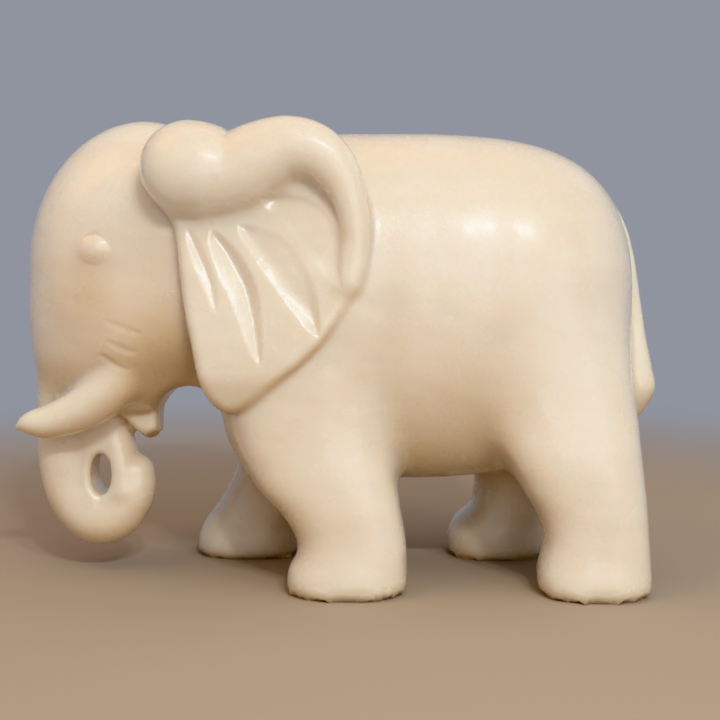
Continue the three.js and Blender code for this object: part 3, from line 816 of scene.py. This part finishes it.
# %% Jade material
def jade_material():
    jade = Finish("pale_jade")
    links = jade.tree.links
    shader = jade.shader
    clouds = jade.ramp(
        jade.noise(20, 4, 0.55),
        [(0.3, (0.85, 0.755, 0.61)), (0.52, (0.87, 0.795, 0.67)), (0.75, (0.89, 0.835, 0.73))],
    )
    bands = jade.ramp(
        jade.noise(28, 3, 0.5, (0.4, 0.4, 4)),
        [(0.35, (0.94, 0.92, 0.90)), (0.65, (1, 1, 1))],
    )
    stone_colour = jade.blend("MULTIPLY", 0.6, clouds, bands)
    # Painted shade: the attribute browns and darkens the stone where the skin faces down, at the
    # jaw, before the eye and in the creases.
    shade_tint = jade.ramp(
        jade.attribute("painted_shade"),
        [(0, (1, 1, 1)), (0.5, (0.80, 0.68, 0.53)), (1, (0.55, 0.42, 0.28))],
    )
    colour = jade.blend("MULTIPLY", 1.0, stone_colour, shade_tint)
    links.new(colour, shader.inputs["Base Color"])
    links.new(jade.span(jade.noise(60, 3, 0.6), 0.3, 0.7, 0.2, 0.36), shader.inputs["Roughness"])
    grain = jade.bump(jade.noise(1700, 2, 0.6), 0.38, 0.00012)
    links.new(grain, shader.inputs["Normal"])
    shader.inputs["Subsurface Weight"].default_value = 0.85
    shader.inputs["Subsurface Radius"].default_value = (1.0, 0.7, 0.45)
    shader.inputs["Subsurface Scale"].default_value = 0.008
    shader.inputs["IOR"].default_value = 1.6
    shader.inputs["Coat Weight"].default_value = 0.8
    shader.inputs["Coat Roughness"].default_value = 0.15
    return jade.material


carving.data.materials.clear()
carving.data.materials.append(jade_material())
print("material:", carving.data.materials[0].name)

# %% The carving stands for the solid
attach(carving, "root")
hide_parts("elephant")

# %% [markdown]
# A plain floor and soft light
#
# The stone should be read by its own shading, so the floor is pale and plain. Two small
# lamps stand in front of the figure and draw the highlights on the flank, the haunch and the
# ear. Four wide soft ones fill from the front, from overhead and from the left, and the sky
# does the rest. Far away the floor fades to the sky's own colour, so that the two meet
# without a hard line.

# %% Floor
FLOOR_RADIUS = 12.0
FLOOR_COLOUR = (0.45, 0.38, 0.31)
SKY_COLOUR = (0.319, 0.336, 0.387)
FADE_FROM = 0.2
FADE_TO = 0.6


def floor_material():
    plain = Finish("pale_floor")
    links = plain.tree.links
    away = plain.tree.nodes.new("ShaderNodeVectorMath")
    away.operation = "LENGTH"
    links.new(plain.place, away.inputs[0])
    far = plain.span(away.outputs["Value"], FADE_FROM, FADE_TO, 0, 1)
    far.node.interpolation_type = "SMOOTHSTEP"
    near_and_far = plain.ramp(far, [(0, FLOOR_COLOUR), (1, (0, 0, 0))])
    links.new(near_and_far, plain.shader.inputs["Base Color"])
    links.new(far, plain.shader.inputs["Emission Strength"])
    plain.shader.inputs["Emission Color"].default_value = (*SKY_COLOUR, 1)
    plain.shader.inputs["Roughness"].default_value = 1.0
    plain.shader.inputs["Specular IOR Level"].default_value = 0.0
    return plain.material


floor_mesh = bpy.data.meshes.new("floor")
bm = bmesh.new()
bmesh.ops.create_circle(bm, cap_ends=True, segments=96, radius=FLOOR_RADIUS)
bm.to_mesh(floor_mesh)
bm.free()
floor = bpy.data.objects.new("floor", floor_mesh)
bpy.context.scene.collection.objects.link(floor)
floor_mesh.materials.append(floor_material())


# %% Lights
def lamp(name, place, aim, size, watts, colour):
    light = bpy.data.lights.new(name, "AREA")
    light.shape = "RECTANGLE"
    light.size, light.size_y = size
    light.energy = watts
    light.color = colour
    lit = bpy.data.objects.new(name, light)
    lit.location = place
    lit.rotation_euler = (Vector(aim) - Vector(place)).to_track_quat("-Z", "Y").to_euler()
    bpy.context.scene.collection.objects.link(lit)


AIM = (0.0, 0.0, 0.08)
lamp("key_right", (0.34, -0.88, 0.68), AIM, (0.07, 0.045), 2.2, (1.0, 0.94, 0.86))
lamp("key_left", (0.21, -0.90, 0.68), AIM, (0.06, 0.045), 2.4, (1.0, 0.94, 0.86))
lamp("front_soft", (0.43, -1.07, 0.39), AIM, (0.9, 0.7), 2.9, (1.0, 0.96, 0.93))
lamp("high_front", (0.33, -0.70, 1.0), AIM, (0.9, 0.7), 2.4, (0.92, 1.0, 0.82))
lamp("overhead_soft", (0.0, 0.06, 1.28), AIM, (0.8, 0.8), 2.4, (1.0, 0.66, 0.36))
lamp("left_warm", (-0.67, -0.39, 1.0), AIM, (0.7, 0.7), 3.0, (1.0, 0.60, 0.25))
sky = bpy.data.worlds.new("sky")
sky.use_nodes = True
sky.node_tree.nodes["Background"].inputs["Color"].default_value = (*SKY_COLOUR, 1)
sky.node_tree.nodes["Background"].inputs["Strength"].default_value = 1.0
bpy.context.scene.world = sky
bpy.context.scene.view_settings.view_transform = "Khronos PBR Neutral"

# %% [markdown]
# The camera
#
# The vanishing point of the edges that ran away from the camera gives its turn and its dip,
# and the size of the near feet against the far ones gives its distance.

# %% Camera
FRAME_SIDE = 720.0
FOCAL_PIXELS = 1300.0
VANISHING_PIXEL = (392.0, 257.0)
SENSOR = 36.0
eye = Vector((0.0170 - MIDDLE_X / MM, -0.460, 0.1122))
across = VANISHING_PIXEL[0] - FRAME_SIDE / 2
down = FRAME_SIDE / 2 - VANISHING_PIXEL[1]
turn = math.atan(across / FOCAL_PIXELS)
dip = math.atan(down / math.hypot(FOCAL_PIXELS, across))
lens = bpy.data.cameras.new("camera")
lens.sensor_width = SENSOR
lens.lens = SENSOR * FOCAL_PIXELS / FRAME_SIDE
lens.clip_start = 0.01
camera = bpy.data.objects.new("camera", lens)
camera.location = eye
forward = Vector((-math.sin(turn) * math.cos(dip), math.cos(turn) * math.cos(dip), -math.sin(dip)))
camera.rotation_euler = forward.to_track_quat("-Z", "Y").to_euler()
bpy.context.scene.collection.objects.link(camera)
bpy.context.scene.camera = camera
